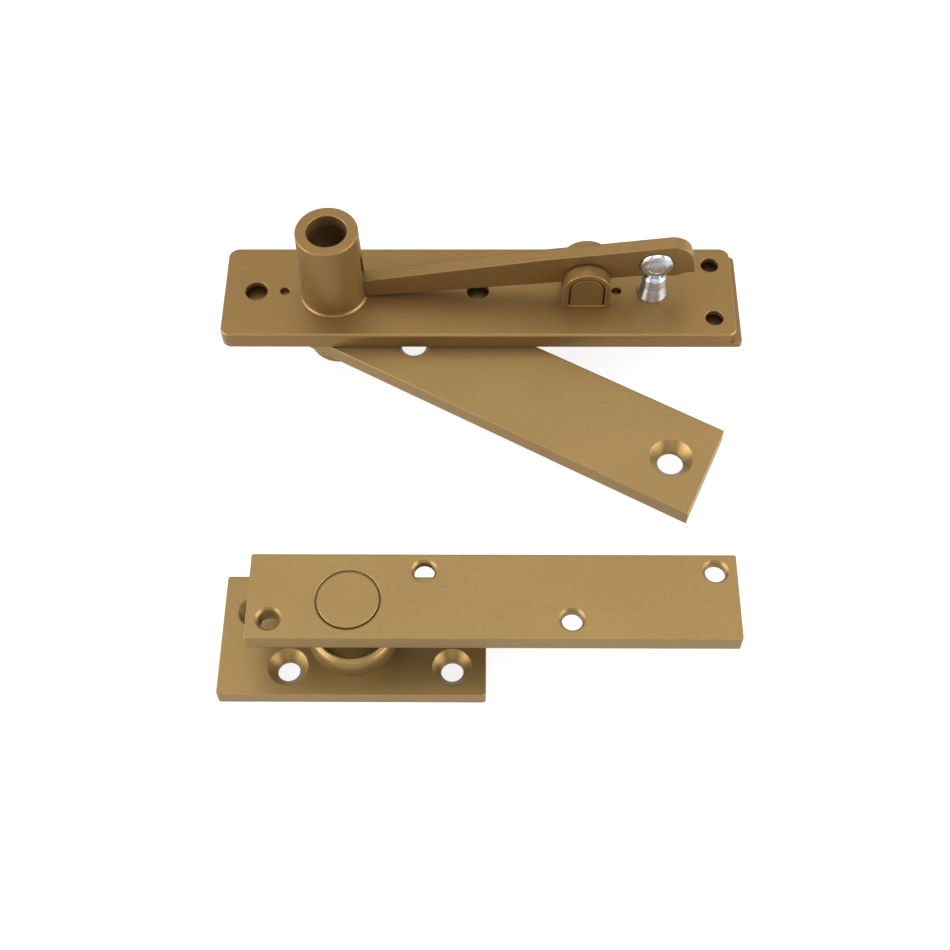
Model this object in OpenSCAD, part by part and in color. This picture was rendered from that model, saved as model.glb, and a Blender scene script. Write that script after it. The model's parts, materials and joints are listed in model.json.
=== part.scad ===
// Centre-hung door pivot set: a top pivot with a retractable pin and a
// floor pivot with a thrust bearing, laid out side by side.
// Millimetres, +Z up. Origin: the floor pivot's axis at the underside of the
// floor plate. Both assemblies stand on Z = 0.

/* [Frame plate] */
// Length of the frame plate along X
frame_l = 144.6; // [140:0.2:150]
// Width of the frame plate
frame_w = 31.75; // [30:0.25:34]
// Thickness of the frame plate
frame_t = 3.9; // [3.6:0.1:4.2]
// Thickness of the cover plate under the frame plate
cover_t = 1.4; // [1.2:0.1:1.6]
// Corner radius of the frame plate
frame_r = 3; // [1:0.5:5]
// Radius of the large screw holes
frame_hole_r = 3.2; // [2.6:0.1:3.4]
// Radius of the small screw holes
frame_hole_small_r = 2.55; // [2.2:0.05:2.8]

/* [Pin housing] */
// Height of the housing above the frame plate
house_h = 25.5; // [24:0.5:28]
// Radius at the top of the housing
house_r_top = 8.65; // [8.3:0.05:9]
// Radius at the foot of the housing
house_r_foot = 9.2; // [9:0.05:9.4]
// Radius of the pin bore
bore_r = 5.97; // [5.95:0.01:6.0]

/* [Walking beam] */
// Thickness of the flat bar
beam_t = 3.9; // [3.6:0.1:4]
// Distance from the pin axis to the fulcrum
fulcrum_x = 71.25; // [70:0.25:72]
// Distance from the pin axis to the lift screw
screw_x = 90.2; // [89.8:0.1:90.6]
// Radius of the fulcrum pin
fulcrum_pin_r = 3; // [2.6:0.1:3]

/* [Door plate] */
// Width of the door plate
door_w = 28.6; // [27:0.1:29]
// Distance from the pin axis to the far end
door_l = 116.9; // [114:0.1:118]
// Thickness of the door plate
door_t = 4.8; // [4.4:0.1:4.8]
// Radius of the screw holes in the door plate
door_hole_r = 3.5; // [3:0.1:3.6]
// Angle of the door plate as stored, degrees
door_a = -29.3; // [-40:0.1:0]

/* [Strap] */
// Length of the strap
strap_l = 122.2; // [118:0.2:124]
// Width of the strap
strap_w = 23.5; // [22:0.25:25]
// Thickness of the strap
strap_t = 5.1; // [4.6:0.1:5.4]
// Radius of the screw holes in the strap
strap_hole_r = 2.6; // [2.4:0.05:2.7]

/* [Floor plate] */
// Length of the floor plate
floor_l = 68.6; // [66:0.2:72]
// Width of the floor plate
floor_w = 34; // [32:0.5:36]
// Thickness of the floor plate
floor_t = 4.1; // [3.8:0.1:4.4]
// Radius of the screw holes in the floor plate
floor_hole_r = 2.9; // [2.6:0.1:3.1]

/* [Hidden] */
$fn = 64;

// Place of the top pivot's pin axis, and the level of the frame plate's top
ux = -9.2;
uy = 99.2;
zt = 22.4;
frame_x0 = -31.4;
frame_x1 = frame_x0 + frame_l;
cover_x1 = frame_x1 + 1.8;
zc = zt - frame_t;
zb = zc - cover_t;

// Levels on the top pivot, counted from the frame plate's top
drive_z = 2.8;
fulcrum_z = 7.6;
ear_r = 6.6;
ear_in_r = 5.05;
ear_sill = 1.4;
trunnion_z = 13.8;
slot_a = 3.93;
pin_r = 5.92;
fork_w = 4.4;

// Levels on the door plate
door_top = zb - 0.4;
door_bot = door_top - door_t;
// The plate's outline lies a little to one side of its pivot, and its end is
// cut slightly off square
door_dy = 0.3;
door_skew = 1.35;
hub_r = 8.8;
bush_r = 7;

// Levels on the floor pivot
strap_bot = 19.15;
strap_top = strap_bot + strap_t;
strap_x0 = -25;
strap_dy = 1;
stud_r = 7.8;
hub_low_r = 6.4;
spindle_r = 3.5;
cup_r = 11.65;
cup_top = 10.4;
race_r = 9;
ball_r = 1.15;
ball_pcd_r = 6.6;
ball_n = 12;

bronze = [0.72, 0.56, 0.33];
steel = [0.78, 0.79, 0.8];
brass = [0.78, 0.6, 0.3];

module up_at() { translate([ux, uy, zt]) children(); }

module rounded2d(x0, x1, w, r) {
  translate([x0 + r, -w / 2]) square([x1 - x0 - 2 * r, w]);
  translate([x0, -w / 2 + r]) square([x1 - x0, w - 2 * r]);
  for (x = [x0 + r, x1 - r], y = [-w / 2 + r, w / 2 - r])
    translate([x, y]) circle(r);
}

// The same outline as a plate of thickness t whose top edge is eased by e
module eased_plate(x0, x1, w, r, t, e) {
  rotate([90, 0, 90]) translate([0, 0, x0 + r]) linear_extrude(x1 - x0 - 2 * r)
    polygon([[-w / 2, 0], [w / 2, 0], [w / 2, t - e], [w / 2 - 0.13 * e, t - e / 2],
             [w / 2 - e / 2, t - 0.13 * e], [w / 2 - e, t], [-w / 2 + e, t],
             [-w / 2 + e / 2, t - 0.13 * e], [-w / 2 + 0.13 * e, t - e / 2],
             [-w / 2, t - e]]);
  rotate([90, 0, 0]) linear_extrude(w - 2 * r, center = true)
    polygon([[x0, 0], [x1, 0], [x1, t - e], [x1 - 0.13 * e, t - e / 2],
             [x1 - e / 2, t - 0.13 * e], [x1 - e, t], [x0 + e, t],
             [x0 + e / 2, t - 0.13 * e], [x0 + 0.13 * e, t - e / 2],
             [x0, t - e]]);
  for (x = [x0 + r, x1 - r], y = [-w / 2 + r, w / 2 - r])
    translate([x, y, 0]) rotate_extrude()
      polygon([[0, 0], [r, 0], [r, t - e], [r - 0.13 * e, t - e / 2],
               [r - e / 2, t - 0.13 * e], [r - e, t], [0, t]]);
}

// A hole of radius r through a plate with a countersink of radius rc at its top
module csk(r, rc, t, depth) {
  translate([0, 0, -t - 1]) cylinder(r = r, h = t + 2);
  rotate_extrude()
    polygon([[0, -depth], [r, -depth], [rc, 0], [rc, 1], [0, 1]]);
}

// The cone that takes a screw head in the underside of a plate
module csk_under(r, rc, depth) {
  rotate_extrude() polygon([[0, -1], [rc, -1], [rc, 0], [r, depth], [0, depth]]);
}

// ---------- top pivot: fixed group ----------

module frame_plate() color(bronze) up_at() difference() {
  translate([0, 0, -frame_t])
    eased_plate(frame_x0, frame_x1, frame_w, frame_r, frame_t, 0.7);
  translate([0, 0, -frame_t - 1]) {
    cylinder(r = 7.6, h = frame_t + 2);
    translate([-22.2, 0, 0]) cylinder(r = frame_hole_r, h = frame_t + 2);
    translate([40.8, 0, 0]) cylinder(r = frame_hole_r, h = frame_t + 2);
    for (y = [-9.55, 9.55])
      translate([107.2, y, 0]) cylinder(r = frame_hole_small_r, h = frame_t + 2);
    for (x = [-14.1, 80.05])
      translate([x, 0, 0]) cylinder(r = 1.37, h = frame_t + 2, $fn = 32);
    translate([screw_x, 0, 0]) cylinder(r = 4.25, h = frame_t + 2);
  }
  for (x = [-22.2, 40.8]) translate([x, 0, -frame_t])
    csk_under(frame_hole_r, frame_hole_r + 2.4, 2.2);
  for (y = [-9.55, 9.55]) translate([107.2, y, -frame_t])
    csk_under(frame_hole_small_r, frame_hole_small_r + 2.1, 2.2);
  for (y = [-4.4, 4.4])
    translate([fulcrum_x - 4.5, y - 1.4, -2.2]) cube([9, 2.8, 3]);
}

module pin_housing() color(bronze) up_at() difference() {
  rotate_extrude() difference() {
    polygon([[0, -frame_t - cover_t], [7.55, -frame_t - cover_t], [7.55, 0],
             [9.85, 0], [9.6, 0.25], [9.35, 0.6], [house_r_foot, 1.1],
             [house_r_top, house_h - 0.35], [house_r_top - 0.1, house_h - 0.1],
             [house_r_top - 0.35, house_h], [0, house_h]]);
    // the bore, with a lip at the top that keeps the pin in
    translate([-1, -frame_t - 3]) square([1 + bore_r, house_h + frame_t - 1]);
    translate([-1, house_h - 5]) square([1 + bore_r - 0.42, 8]);
    polygon([[0, house_h - 0.15], [bore_r - 0.42, house_h - 0.15],
             [bore_r - 0.12, house_h + 0.15], [0, house_h + 0.15]]);
  }
  translate([0, -2.3, 0.02]) cube([12, 4.6, 16.4]);
}

module cover_plate() color(bronze) up_at() difference() {
  translate([0, 0, -frame_t - cover_t]) linear_extrude(cover_t)
    union() {
      rounded2d(frame_x0, 45, frame_w - 0.3, frame_r - 0.15);
      rounded2d(20, cover_x1, frame_w - 0.3, 1.2);
    }
  translate([0, 0, -frame_t - cover_t - 1]) {
    cylinder(r = 7.6, h = cover_t + 2);
    translate([screw_x, 0, 0]) cylinder(r = 4.6, h = cover_t + 2);
  }
  for (x = [-14.1, 80.05]) translate([x, 0, -frame_t - cover_t]) {
    cylinder(r1 = 2.7, r2 = 1.5, h = 1.2);
    cylinder(r = 1.5, h = 3);
  }
}

module cover_screws() color(bronze) up_at()
  for (x = [-14.1, 80.05]) translate([x, 0, -frame_t - cover_t + 0.02])
    difference() {
      union() {
        cylinder(r1 = 2.64, r2 = 1.35, h = 1.2);
        cylinder(r = 1.35, h = cover_t + frame_t - 1.6, $fn = 32);
      }
      translate([-3, -0.3, -1]) cube([6, 0.6, 1.6]);
    }

module arch2d(r, z0) {
  translate([0, fulcrum_z]) circle(r);
  translate([-r, z0]) square([2 * r, fulcrum_z - z0]);
}

module fulcrum_ears() color(bronze) up_at()
  for (s = [-1, 1]) translate([fulcrum_x, s * 4.4, 0]) union() {
    rotate([90, 0, 0]) translate([0, 0, -2]) linear_extrude(4)
      difference() {
        arch2d(ear_r, 0);
        arch2d(ear_in_r, ear_sill);
      }
    translate([-4.5, -1.4, -2.2]) cube([9, 2.8, 2.4]);
  }

module fulcrum_blocks() color(bronze) up_at()
  for (s = [-1, 1]) translate([fulcrum_x, 0, 0]) difference() {
    union() {
      translate([0, s * 3.6, 0]) rotate([90, 0, 0])
        linear_extrude(2.4, center = true) arch2d(ear_in_r, ear_sill);
      translate([0, s * 5.2, 0]) rotate([90, 0, 0])
        linear_extrude(2, center = true) arch2d(ear_in_r - 0.55, ear_sill);
    }
    translate([0, s * 1.8, fulcrum_z]) rotate([90, 0, 0])
      cylinder(r = fulcrum_pin_r, h = 4.2, center = true);
  }

module fulcrum_pin() color(steel) up_at()
  translate([fulcrum_x, 0, fulcrum_z]) rotate([90, 0, 0])
    cylinder(r = fulcrum_pin_r, h = 2 * 3.9, center = true);

// ---------- top pivot: moving pieces ----------

module pivot_pin() color(steel) up_at() difference() {
  rotate_extrude() polygon([[0, -15.1], [4.9, -15.1], [pin_r, -14.1],
    [pin_r, 7.1], [pin_r - 0.7, 7.8], [0, 7.8]]);
  translate([-8, -fork_w / 2, drive_z - 4.3]) cube([16, fork_w, 12]);
  translate([0, 0, drive_z]) rotate([90, 0, 0])
    cylinder(r = 1.5, h = 10.4, center = true, $fn = 32);
}

module drive_pin() color(steel) up_at()
  translate([0, 0, drive_z]) rotate([90, 0, 0])
    cylinder(r = 1.5, h = 10.4, center = true, $fn = 32);

module beam2d() {
  difference() {
    union() {
      polygon([[0, 0.15], [9.2, 0.15], [100.9, 10.9], [100.2, 15.2],
               [93.6, 20.8], [78.7, 18.55], [59.4, 15.8], [10, 6.95],
               [3, 6.2], [0, 6.2]]);
      translate([0, drive_z]) circle(3.6);
      translate([fulcrum_x, fulcrum_z]) circle(6);
      translate([94.35, 15.05]) circle(5.8);
    }
    // slot for the drive pin, open along the line to the fulcrum
    translate([0, drive_z]) rotate(3.86) {
      for (x = [-0.3, 0.3]) translate([x, 0]) circle(1.56, $fn = 32);
      translate([-0.3, -1.53]) square([0.6, 3.06]);
    }
    translate([fulcrum_x, fulcrum_z]) circle(fulcrum_pin_r + 0.05);
    // slot for the trunnion and the gap for the lift screw under it
    translate([screw_x, trunnion_z]) rotate(slot_a) {
      for (x = [-0.85, 0.1]) translate([x, 0]) circle(3.85);
      translate([-0.85, -3.83]) square([0.95, 7.66]);
      translate([-3.575, -12]) square([6.4, 12]);
    }
  }
}

module walking_beam() color(bronze) up_at()
  rotate([90, 0, 0]) translate([0, 0, -beam_t / 2]) linear_extrude(beam_t)
    beam2d();

module trunnion() color(steel) up_at() translate([screw_x, 0, trunnion_z])
  difference() {
    rotate([90, 0, 0]) rotate_extrude() polygon([[0, -2.7], [2.2, -2.7],
      [2.2, -2.1], [3.8, -2.1], [3.8, 2.15], [4.53, 2.15], [4.53, 2.25],
      [4.4, 2.5], [4.1, 2.75], [3.6, 2.98], [3.0, 3.13], [2.4, 3.2],
      [2.25, 3.1], [0, 3.1]]);
    translate([0, 0, -5]) cylinder(r = 2.35, h = 6.6);
    translate([-2.1, 0, -0.6]) rotate([90, 0, 0])
      cylinder(r = 0.65, h = 3.6, center = true, $fn = 32);
  }

module trunnion_cap() color(steel) up_at()
  translate([screw_x, 0, trunnion_z]) difference() {
    rotate([-90, 0, 0]) rotate_extrude()
      polygon([[2.2, 2.15], [4.53, 2.15], [4.53, 2.25], [4.4, 2.5], [4.1, 2.75],
               [3.6, 2.98], [3.0, 3.13], [2.4, 3.2], [0, 3.2], [0, 2.7],
               [2.2, 2.7]]);
    translate([0, 0, -5]) cylinder(r = 2.36, h = 6.6);
  }

module keeper_pin() color(steel) up_at()
  translate([screw_x - 2.1, 0, trunnion_z - 0.6]) rotate([90, 0, 0])
    cylinder(r = 0.65, h = 3.6, center = true, $fn = 32);

module lift_screw() color(steel) up_at() translate([screw_x, 0, 0])
  difference() {
    rotate_extrude() polygon([[0, -2.6], [3.8, -2.6], [4.2, -2.2], [4.2, 0.3],
      [3.42, 4.1], [3.3, 7.3], [2.95, 8.1], [2.3, 8.4], [2.3, 12.1], [1.35, 12.4],
      [1.35, 14.0], [2.3, 14.3], [2.3, 15.0], [2.0, 15.3], [0, 15.3]]);
    translate([0, 0, -3]) cylinder(r = 2.31, h = 3.4, $fn = 6);
  }

// ---------- top pivot: door side ----------

module at_door() translate([ux, uy, 0]) rotate(door_a) children();

module door_plate() color(bronze) at_door() difference() {
  translate([0, 0, door_bot]) linear_extrude(door_t) union() {
    translate([0, door_dy])
      polygon([[0, -door_w / 2], [door_l + door_skew, -door_w / 2],
               [door_l - door_skew, door_w / 2], [0, door_w / 2]]);
    translate([0, door_dy]) circle(door_w / 2);
  }
  translate([0, 0, door_bot - 1]) cylinder(r = bush_r, h = door_t + 2);
  translate([0, 0, door_bot - 1]) cylinder(r = hub_r + 0.02, h = 2);
  for (x = [26, 106.7]) translate([x, 0, 0]) {
    translate([0, 0, door_top]) csk(door_hole_r, 5.85, door_t, 3.1);
    translate([0, 0, door_bot]) csk_under(door_hole_r, door_hole_r + 0.7, 0.7);
  }
}

module door_hub() color(bronze) at_door()
  rotate_extrude() polygon([[bush_r, 0], [hub_r - 0.6, 0], [hub_r, 0.6],
    [hub_r, door_bot + 0.98], [bush_r, door_bot + 0.98]]);

module hub_bush() color(brass) at_door()
  rotate_extrude() polygon([[bore_r, 2], [bush_r, 2], [bush_r, door_top],
    [bore_r + 0.4, door_top], [bore_r, door_top - 0.4]]);

module hub_plug() color(bronze) at_door() cylinder(r = bush_r, h = 1.9);

// ---------- floor pivot: fixed group ----------

module floor_plate() color(bronze) difference() {
  linear_extrude(floor_t) rounded2d(-floor_l / 2, floor_l / 2, floor_w, 0.8);
  for (p = [[-16.5, -9], [25.6, -9]])
    translate([p[0], p[1], floor_t]) csk(floor_hole_r, 5.1, floor_t, 2.6);
  for (p = [[-26.4, 6.6], [15.7, 6.6]])
    translate([p[0], p[1], floor_t]) csk(floor_hole_r, 4.3, floor_t, 1.8);
  translate([0, 0, 1.2]) cylinder(r = 4.5, h = 5);
}

module bearing_cup() color(bronze) rotate_extrude() difference() {
  union() {
    translate([4.5, floor_t]) square([cup_r - 4.5, 2.4]);
    polygon([[4.5, floor_t + 2], [cup_r, floor_t + 2], [cup_r, floor_t + 2.6],
      for (a = [0:10:80]) [cup_r - 1.6 + 1.6 * cos(a),
                           floor_t + 2.6 + 3.4 * sin(a)],
      [cup_r - 1.75, cup_top], [4.5, cup_top]]);
  }
  polygon([[4.4, floor_t + 0.9], [race_r + 0.2, floor_t + 0.9],
           [race_r + 0.2, cup_top - 0.3], [race_r + 0.5, cup_top + 0.1],
           [4.4, cup_top + 0.1]]);
}

module spindle() color(steel) rotate_extrude()
  polygon([[0, 1.2], [4.46, 1.2], [4.46, floor_t + 0.9],
           [spindle_r, floor_t + 0.9], [spindle_r, 15.2],
           [spindle_r - 0.8, 16], [0, 16]]);

module lower_race() color(steel) rotate_extrude() difference() {
  translate([spindle_r + 0.6, floor_t + 0.9]) square([race_r - spindle_r - 0.6, 1.1]);
  translate([ball_pcd_r, floor_t + 3.05]) circle(r = ball_r + 0.1, $fn = 32);
}

module bearing_balls() color(steel)
  for (i = [0:ball_n - 1]) rotate(i * 360 / ball_n)
    translate([ball_pcd_r, 0, floor_t + 3.05]) sphere(r = ball_r, $fn = 32);

module ball_cage() color(brass) difference() {
  translate([0, 0, floor_t + 2.75]) rotate_extrude()
    translate([ball_pcd_r - 1.8, 0]) square([3.6, 0.6]);
  for (i = [0:ball_n - 1]) rotate(i * 360 / ball_n)
    translate([ball_pcd_r, 0, 0]) cylinder(r = ball_r + 0.02, h = 12, $fn = 32);
}

// ---------- floor pivot: door side ----------

module upper_race() color(steel) rotate_extrude() difference() {
  translate([spindle_r + 0.4, floor_t + 4.1]) square([race_r - spindle_r - 0.6, 1.1]);
  translate([ball_pcd_r, floor_t + 3.05]) circle(r = ball_r + 0.1, $fn = 32);
}

module dust_shield() color(bronze) rotate_extrude()
  polygon([[hub_low_r, floor_t + 5.2], [race_r - 0.1, floor_t + 5.2],
           [race_r - 0.1, floor_t + 5.5], [hub_low_r, floor_t + 5.65]]);

module strap() color(bronze) translate([0, strap_dy, 0]) difference() {
  translate([0, 0, strap_bot]) linear_extrude(strap_t)
    rounded2d(strap_x0, strap_x0 + strap_l, strap_w, 0.6);
  translate([0, -strap_dy, strap_bot - 1]) cylinder(r = stud_r, h = strap_t + 2);
  for (p = [[-19.4, -6.3], [55.6, -6.3], [18.8, 7.2], [91.8, 7.2]])
    translate([p[0], p[1], 0]) {
      translate([0, 0, strap_top]) csk(strap_hole_r, 3.3, strap_t, 0.9);
      if (p[0] > 0)
        translate([0, 0, strap_bot]) csk_under(strap_hole_r, strap_hole_r + 2.4, 2.4);
    }
  translate([0, -strap_dy, strap_top]) rotate_extrude()
    polygon([[0, -0.6], [stud_r + 0.4, -0.6], [stud_r + 0.4, -0.2],
             [stud_r + 0.8, 0.2], [0, 0.2]]);
}

module strap_stud() color(bronze) difference() {
  rotate_extrude() polygon([[0, floor_t + 5.2], [hub_low_r, floor_t + 5.2],
    [hub_low_r, strap_bot - 0.6], [stud_r, strap_bot],
    [stud_r, strap_top - 0.2], [stud_r - 0.2, strap_top], [0, strap_top]]);
  translate([0, 0, -1]) cylinder(r = spindle_r + 0.05, h = 17.6);
  rotate_extrude() polygon([[0, 8], [spindle_r + 0.4, 8],
    [spindle_r + 0.4, floor_t + 5.2], [spindle_r, floor_t + 5.9], [0, 9.9]]);
}

frame_plate();
pin_housing();
cover_plate();
cover_screws();
fulcrum_ears();
fulcrum_blocks();
fulcrum_pin();
pivot_pin();
drive_pin();
walking_beam();
trunnion();
trunnion_cap();
keeper_pin();
lift_screw();
door_plate();
door_hub();
hub_bush();
hub_plug();
floor_plate();
bearing_cup();
spindle();
lower_race();
bearing_balls();
ball_cage();
upper_race();
dust_shield();
strap();
strap_stud();
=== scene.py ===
import json
import math

import bpy
from mathutils import Matrix, Vector

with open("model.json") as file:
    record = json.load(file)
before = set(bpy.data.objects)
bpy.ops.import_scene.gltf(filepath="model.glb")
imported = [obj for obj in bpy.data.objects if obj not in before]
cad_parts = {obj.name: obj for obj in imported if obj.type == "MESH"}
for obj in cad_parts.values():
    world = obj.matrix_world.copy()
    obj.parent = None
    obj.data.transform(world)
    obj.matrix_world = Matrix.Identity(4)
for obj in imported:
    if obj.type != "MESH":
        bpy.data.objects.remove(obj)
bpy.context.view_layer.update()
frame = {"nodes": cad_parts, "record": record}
nodes = frame["nodes"]
record = frame["record"]

MM = 0.001

# ---------------------------------------------------------------- materials


def new_material(name):
    mat = bpy.data.materials.new(name)
    mat.use_nodes = True
    nt = mat.node_tree
    nt.nodes.clear()
    out = nt.nodes.new("ShaderNodeOutputMaterial")
    bsdf = nt.nodes.new("ShaderNodeBsdfPrincipled")
    nt.links.new(bsdf.outputs["BSDF"], out.inputs["Surface"])
    return mat, nt, bsdf


def node(nt, kind, **props):
    n = nt.nodes.new(kind)
    for k, v in props.items():
        setattr(n, k, v)
    return n


def math_node(nt, op, a, b=None, clamp=False):
    n = nt.nodes.new("ShaderNodeMath")
    n.operation = op
    n.use_clamp = clamp
    for i, v in enumerate((a, b)):
        if v is None:
            continue
        if isinstance(v, (int, float)):
            n.inputs[i].default_value = v
        else:
            nt.links.new(v, n.inputs[i])
    return n.outputs[0]


def ramp(nt, fac, stops):
    n = nt.nodes.new("ShaderNodeValToRGB")
    cr = n.color_ramp
    while len(cr.elements) < len(stops):
        cr.elements.new(0.5)
    for e, (p, c) in zip(cr.elements, stops):
        e.position = p
        e.color = (*c, 1) if len(c) == 3 else c
    nt.links.new(fac, n.inputs["Fac"])
    return n.outputs["Color"]


def satin_bronze(name, base, rough=0.42, grain=0.05, seed=0.0):
    """Satin coated bronze: almost even tone, fine pitted grain, edges painted a
    little brighter, partly as rubbed wear and partly as a painted highlight."""
    mat, nt, bsdf = new_material(name)
    tc = node(nt, "ShaderNodeTexCoord")
    mp = node(nt, "ShaderNodeMapping")
    mp.inputs["Location"].default_value = (seed, seed * 0.7, seed * 1.3)
    nt.links.new(tc.outputs["Object"], mp.inputs["Vector"])
    cloud = node(nt, "ShaderNodeTexNoise")
    cloud.inputs["Scale"].default_value = 38
    cloud.inputs["Detail"].default_value = 3
    nt.links.new(mp.outputs[0], cloud.inputs["Vector"])
    fine = node(nt, "ShaderNodeTexNoise")
    fine.inputs["Scale"].default_value = 2600
    fine.inputs["Detail"].default_value = 2
    nt.links.new(mp.outputs[0], fine.inputs["Vector"])
    speck = node(nt, "ShaderNodeTexNoise")
    speck.inputs["Scale"].default_value = 900
    speck.inputs["Detail"].default_value = 3
    nt.links.new(mp.outputs[0], speck.inputs["Vector"])
    dark = tuple(c * k for c, k in zip(base, (0.955, 0.955, 0.95)))
    light = tuple(c * k for c, k in zip(base, (1.04, 1.045, 1.06)))
    tone = ramp(nt, cloud.outputs["Fac"], [(0.3, dark), (0.5, base), (0.7, light)])
    grainy = node(nt, "ShaderNodeMix", data_type="RGBA", blend_type="MULTIPLY")
    grainy.inputs[0].default_value = 0.35
    nt.links.new(tone, grainy.inputs[6])
    nt.links.new(
        ramp(nt, speck.outputs["Fac"], [(0.35, (0.90,) * 3), (0.65, (1.08,) * 3)]),
        grainy.inputs[7],
    )
    # edges: where the rounded normal leaves the true one; the colour there is painted
    # brighter, partly rubbed wear and partly a painted highlight
    bev = node(nt, "ShaderNodeBevel", samples=8)
    bev.inputs["Radius"].default_value = 0.0005
    geo = node(nt, "ShaderNodeNewGeometry")
    dot = node(nt, "ShaderNodeVectorMath", operation="DOT_PRODUCT")
    nt.links.new(bev.outputs[0], dot.inputs[0])
    nt.links.new(geo.outputs["Normal"], dot.inputs[1])
    edge = math_node(nt, "SUBTRACT", 1.0, dot.outputs["Value"])
    edge = math_node(nt, "MULTIPLY", edge, 3.0, clamp=True)
    wear_and_highlight = node(nt, "ShaderNodeMix", data_type="RGBA")
    wear_and_highlight.inputs[7].default_value = (*[min(1, c * 1.25) for c in base], 1)
    nt.links.new(math_node(nt, "MULTIPLY", edge, 0.5), wear_and_highlight.inputs[0])
    nt.links.new(grainy.outputs[2], wear_and_highlight.inputs[6])
    nt.links.new(wear_and_highlight.outputs[2], bsdf.inputs["Base Color"])
    rr = math_node(nt, "MULTIPLY", cloud.outputs["Fac"], 0.08)
    rr = math_node(nt, "ADD", rr, rough - 0.04)
    nt.links.new(rr, bsdf.inputs["Roughness"])
    bump = node(nt, "ShaderNodeBump")
    bump.inputs["Strength"].default_value = grain
    bump.inputs["Distance"].default_value = 0.0001
    nt.links.new(fine.outputs["Fac"], bump.inputs["Height"])
    nt.links.new(bev.outputs[0], bump.inputs["Normal"])
    nt.links.new(bump.outputs[0], bsdf.inputs["Normal"])
    bsdf.inputs["Metallic"].default_value = 0.78
    bsdf.inputs["Specular IOR Level"].default_value = 0.1
    return mat


def turned_metal(
    name, base, rough, pitch=0.00035, strength=0.07, axis="Z", aniso=0.85, metal=1.0
):
    """Lathe-turned metal: fine rings round its axis that draw the highlight out
    along it, and soft smudges."""
    mat, nt, bsdf = new_material(name)
    tc = node(nt, "ShaderNodeTexCoord")
    wave = node(nt, "ShaderNodeTexWave", wave_type="BANDS", bands_direction=axis)
    wave.inputs["Scale"].default_value = 0.314 / pitch
    wave.inputs["Distortion"].default_value = 0.6
    wave.inputs["Detail"].default_value = 2
    nt.links.new(tc.outputs["Object"], wave.inputs["Vector"])
    smudge = node(nt, "ShaderNodeTexNoise")
    smudge.inputs["Scale"].default_value = 260
    smudge.inputs["Detail"].default_value = 4
    nt.links.new(tc.outputs["Object"], smudge.inputs["Vector"])
    nt.links.new(
        ramp(
            nt,
            smudge.outputs["Fac"],
            [(0.3, tuple(c * 0.90 for c in base)), (0.7, base)],
        ),
        bsdf.inputs["Base Color"],
    )
    rr = math_node(nt, "MULTIPLY", smudge.outputs["Fac"], 0.10)
    rr = math_node(nt, "ADD", rr, max(0.02, rough - 0.05))
    nt.links.new(rr, bsdf.inputs["Roughness"])
    bump = node(nt, "ShaderNodeBump")
    bump.inputs["Strength"].default_value = strength
    bump.inputs["Distance"].default_value = 0.00006
    nt.links.new(wave.outputs["Fac"], bump.inputs["Height"])
    nt.links.new(bump.outputs[0], bsdf.inputs["Normal"])
    tan = node(nt, "ShaderNodeTangent", direction_type="RADIAL", axis=axis)
    nt.links.new(tan.outputs[0], bsdf.inputs["Tangent"])
    bsdf.inputs["Anisotropic"].default_value = aniso
    bsdf.inputs["Anisotropic Rotation"].default_value = 0.25
    bsdf.inputs["Metallic"].default_value = metal
    return mat


# One bronze finish in two tones: the darker tone is painted shade and the lighter tone is
# painted light on the same bronze.
BRONZE_SHADED = (0.184, 0.110, 0.0398)
BRONZE_LIT = (0.207, 0.1335, 0.0508)
mats = {
    "satin_bronze_dark": satin_bronze("satin_bronze_dark", BRONZE_SHADED, seed=0.0),
    "satin_bronze_light": satin_bronze("satin_bronze_light", BRONZE_LIT, seed=0.4),
    "polished_steel": turned_metal(
        "polished_steel", (0.51, 0.55, 0.605), 0.27, aniso=0.93, metal=0.96
    ),
    "polished_steel_cross": turned_metal(
        "polished_steel_cross", (0.52, 0.55, 0.60), 0.20, axis="Y", aniso=0.4, metal=0.96
    ),
    "bearing_brass": turned_metal("bearing_brass", (0.55, 0.37, 0.15), 0.3),
}
slot_of = {s["node"]: s["material_slot"] for s in record["subparts"]}

CROSS = ("trunnion", "trunnion_cap", "drive_pin", "fulcrum_pin")

for name, ob in nodes.items():
    ob.data.materials.clear()
    key = slot_of[name]
    if name in CROSS:
        key = "polished_steel_cross"
    ob.data.materials.append(mats[key])

# ---------------------------------------------------------------- stage

bpy.ops.mesh.primitive_plane_add(size=6, location=(0.04, 0.05, 0))
floor = bpy.context.object
floor.name = "floor"
fmat, fnt, fb = new_material("pale_floor")
fb.inputs["Base Color"].default_value = (0.24, 0.24, 0.238, 1)
fb.inputs["Roughness"].default_value = 0.9
fb.inputs["Specular IOR Level"].default_value = 0.0
fb.inputs["Emission Color"].default_value = (1, 1, 1, 1)
fb.inputs["Emission Strength"].default_value = 0.76
floor.data.materials.append(fmat)

world = bpy.data.worlds.new("studio")
bpy.context.scene.world = world
world.use_nodes = True
wn = world.node_tree
wn.nodes.clear()
wo = wn.nodes.new("ShaderNodeOutputWorld")
bg = wn.nodes.new("ShaderNodeBackground")
wn.links.new(bg.outputs[0], wo.inputs[0])
tc = wn.nodes.new("ShaderNodeTexCoord")
sep = wn.nodes.new("ShaderNodeSeparateXYZ")
wn.links.new(tc.outputs["Generated"], sep.inputs[0])


def half(v):
    """-1..1 to 0..1"""
    return math_node(wn, "MULTIPLY", math_node(wn, "ADD", v, 1.0), 0.5)


def grey(stops):
    return [((p + 1) / 2, (v,) * 3) for p, v in stops]


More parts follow.
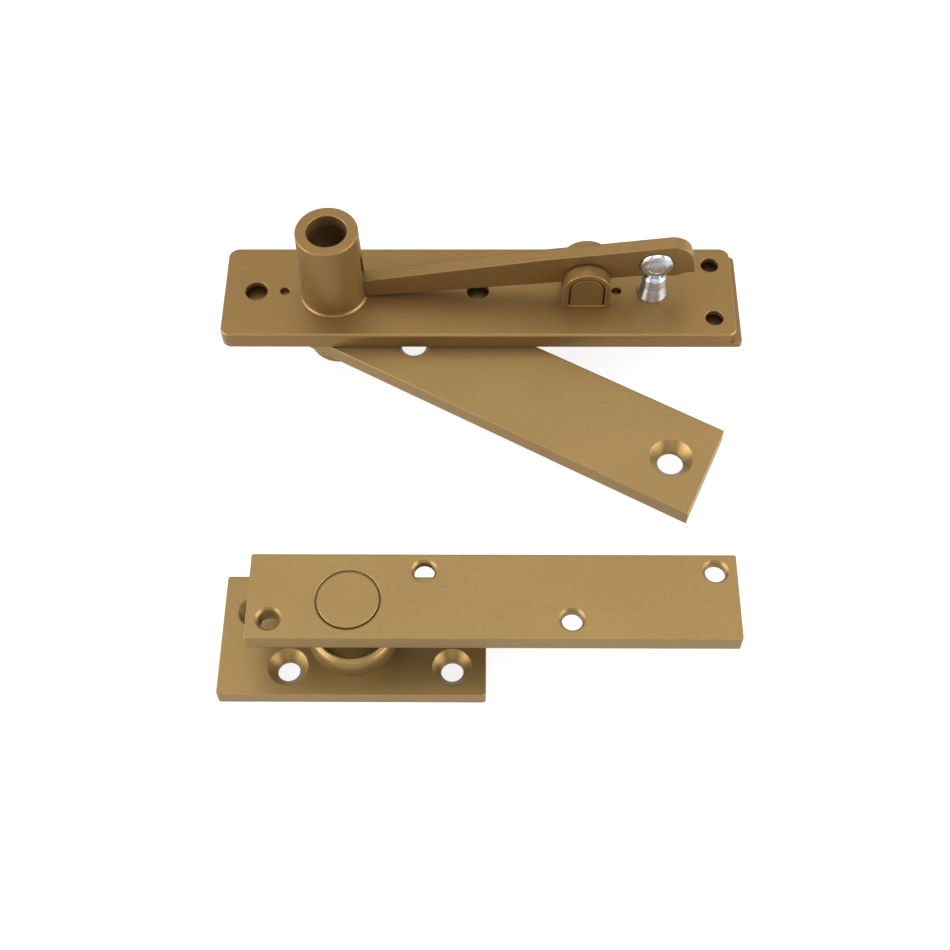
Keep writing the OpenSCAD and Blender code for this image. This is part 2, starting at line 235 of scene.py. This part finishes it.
# A soft tent, brighter behind than on the near side, with a soft box overhead,
# one low on each side and a small one in front that draws the rounded edges.
depth = ramp(
    wn, half(sep.outputs["Y"]),
    grey([(-1, 0.24), (-0.6, 0.25), (-0.25, 0.40), (0.1, 0.58), (0.45, 0.72), (1, 0.68)]),
)
height = ramp(
    wn, half(sep.outputs["Z"]),
    grey([(-1, 0.5), (0, 0.62), (0.60, 0.78), (0.78, 0.84), (0.89, 0.92), (1, 0.94)]),
)
light = math_node(wn, "MULTIPLY", depth, height)


def soft_box(axis, inner, outer, level):
    """A lit patch round a direction; inner and outer are cosines."""
    d = Vector(axis).normalized()
    n = wn.nodes.new("ShaderNodeVectorMath")
    n.operation = "DOT_PRODUCT"
    wn.links.new(tc.outputs["Generated"], n.inputs[0])
    n.inputs[1].default_value = d
    return ramp(wn, half(n.outputs["Value"]), grey([(outer, 0.0), (inner, level)]))


for box in (
    soft_box((0.0, 0.0, 1.0), 0.965, 0.82, 0.55),
    soft_box((-0.95, -0.22, 0.16), 0.94, 0.76, 3.6),
    soft_box((0.96, -0.20, 0.16), 0.95, 0.78, 3.4),
    soft_box((0.0, -0.85, 0.53), 0.975, 0.90, 0.9),
):
    light = math_node(wn, "ADD", light, box)
wn.links.new(light, bg.inputs["Color"])
bg.inputs["Strength"].default_value = 2.5

# ---------------------------------------------------------------- camera

cam_d = bpy.data.cameras.new("camera")
cam = bpy.data.objects.new("camera", cam_d)
bpy.context.scene.collection.objects.link(cam)
bpy.context.scene.camera = cam
F_PX = 1487.2
PITCH, YAW, ROLL = 1.01273355, 0.02328655, -0.01791556
POS = Vector((36.09, -168.93, 353.33)) * MM
fwd = Vector((0, math.cos(PITCH), -math.sin(PITCH)))
upv = Vector((0, math.sin(PITCH), math.cos(PITCH)))
right = Vector((1, 0, 0))
rz = Matrix.Rotation(YAW, 3, "Z")
fwd, upv, right = rz @ fwd, rz @ upv, rz @ right
r2 = right * math.cos(ROLL) + upv * math.sin(ROLL)
u2 = -right * math.sin(ROLL) + upv * math.cos(ROLL)
cam.matrix_world = Matrix(
    (
        (r2.x, u2.x, -fwd.x, POS.x),
        (r2.y, u2.y, -fwd.y, POS.y),
        (r2.z, u2.z, -fwd.z, POS.z),
        (0, 0, 0, 1),
    )
)
cam_d.sensor_width = 36
cam_d.lens = 36 * F_PX / 950
cam_d.clip_start = 0.01
cam_d.clip_end = 50
cam_d.dof.use_dof = False

bpy.context.scene.view_settings.view_transform = "Standard"
bpy.context.scene.view_settings.look = "None"
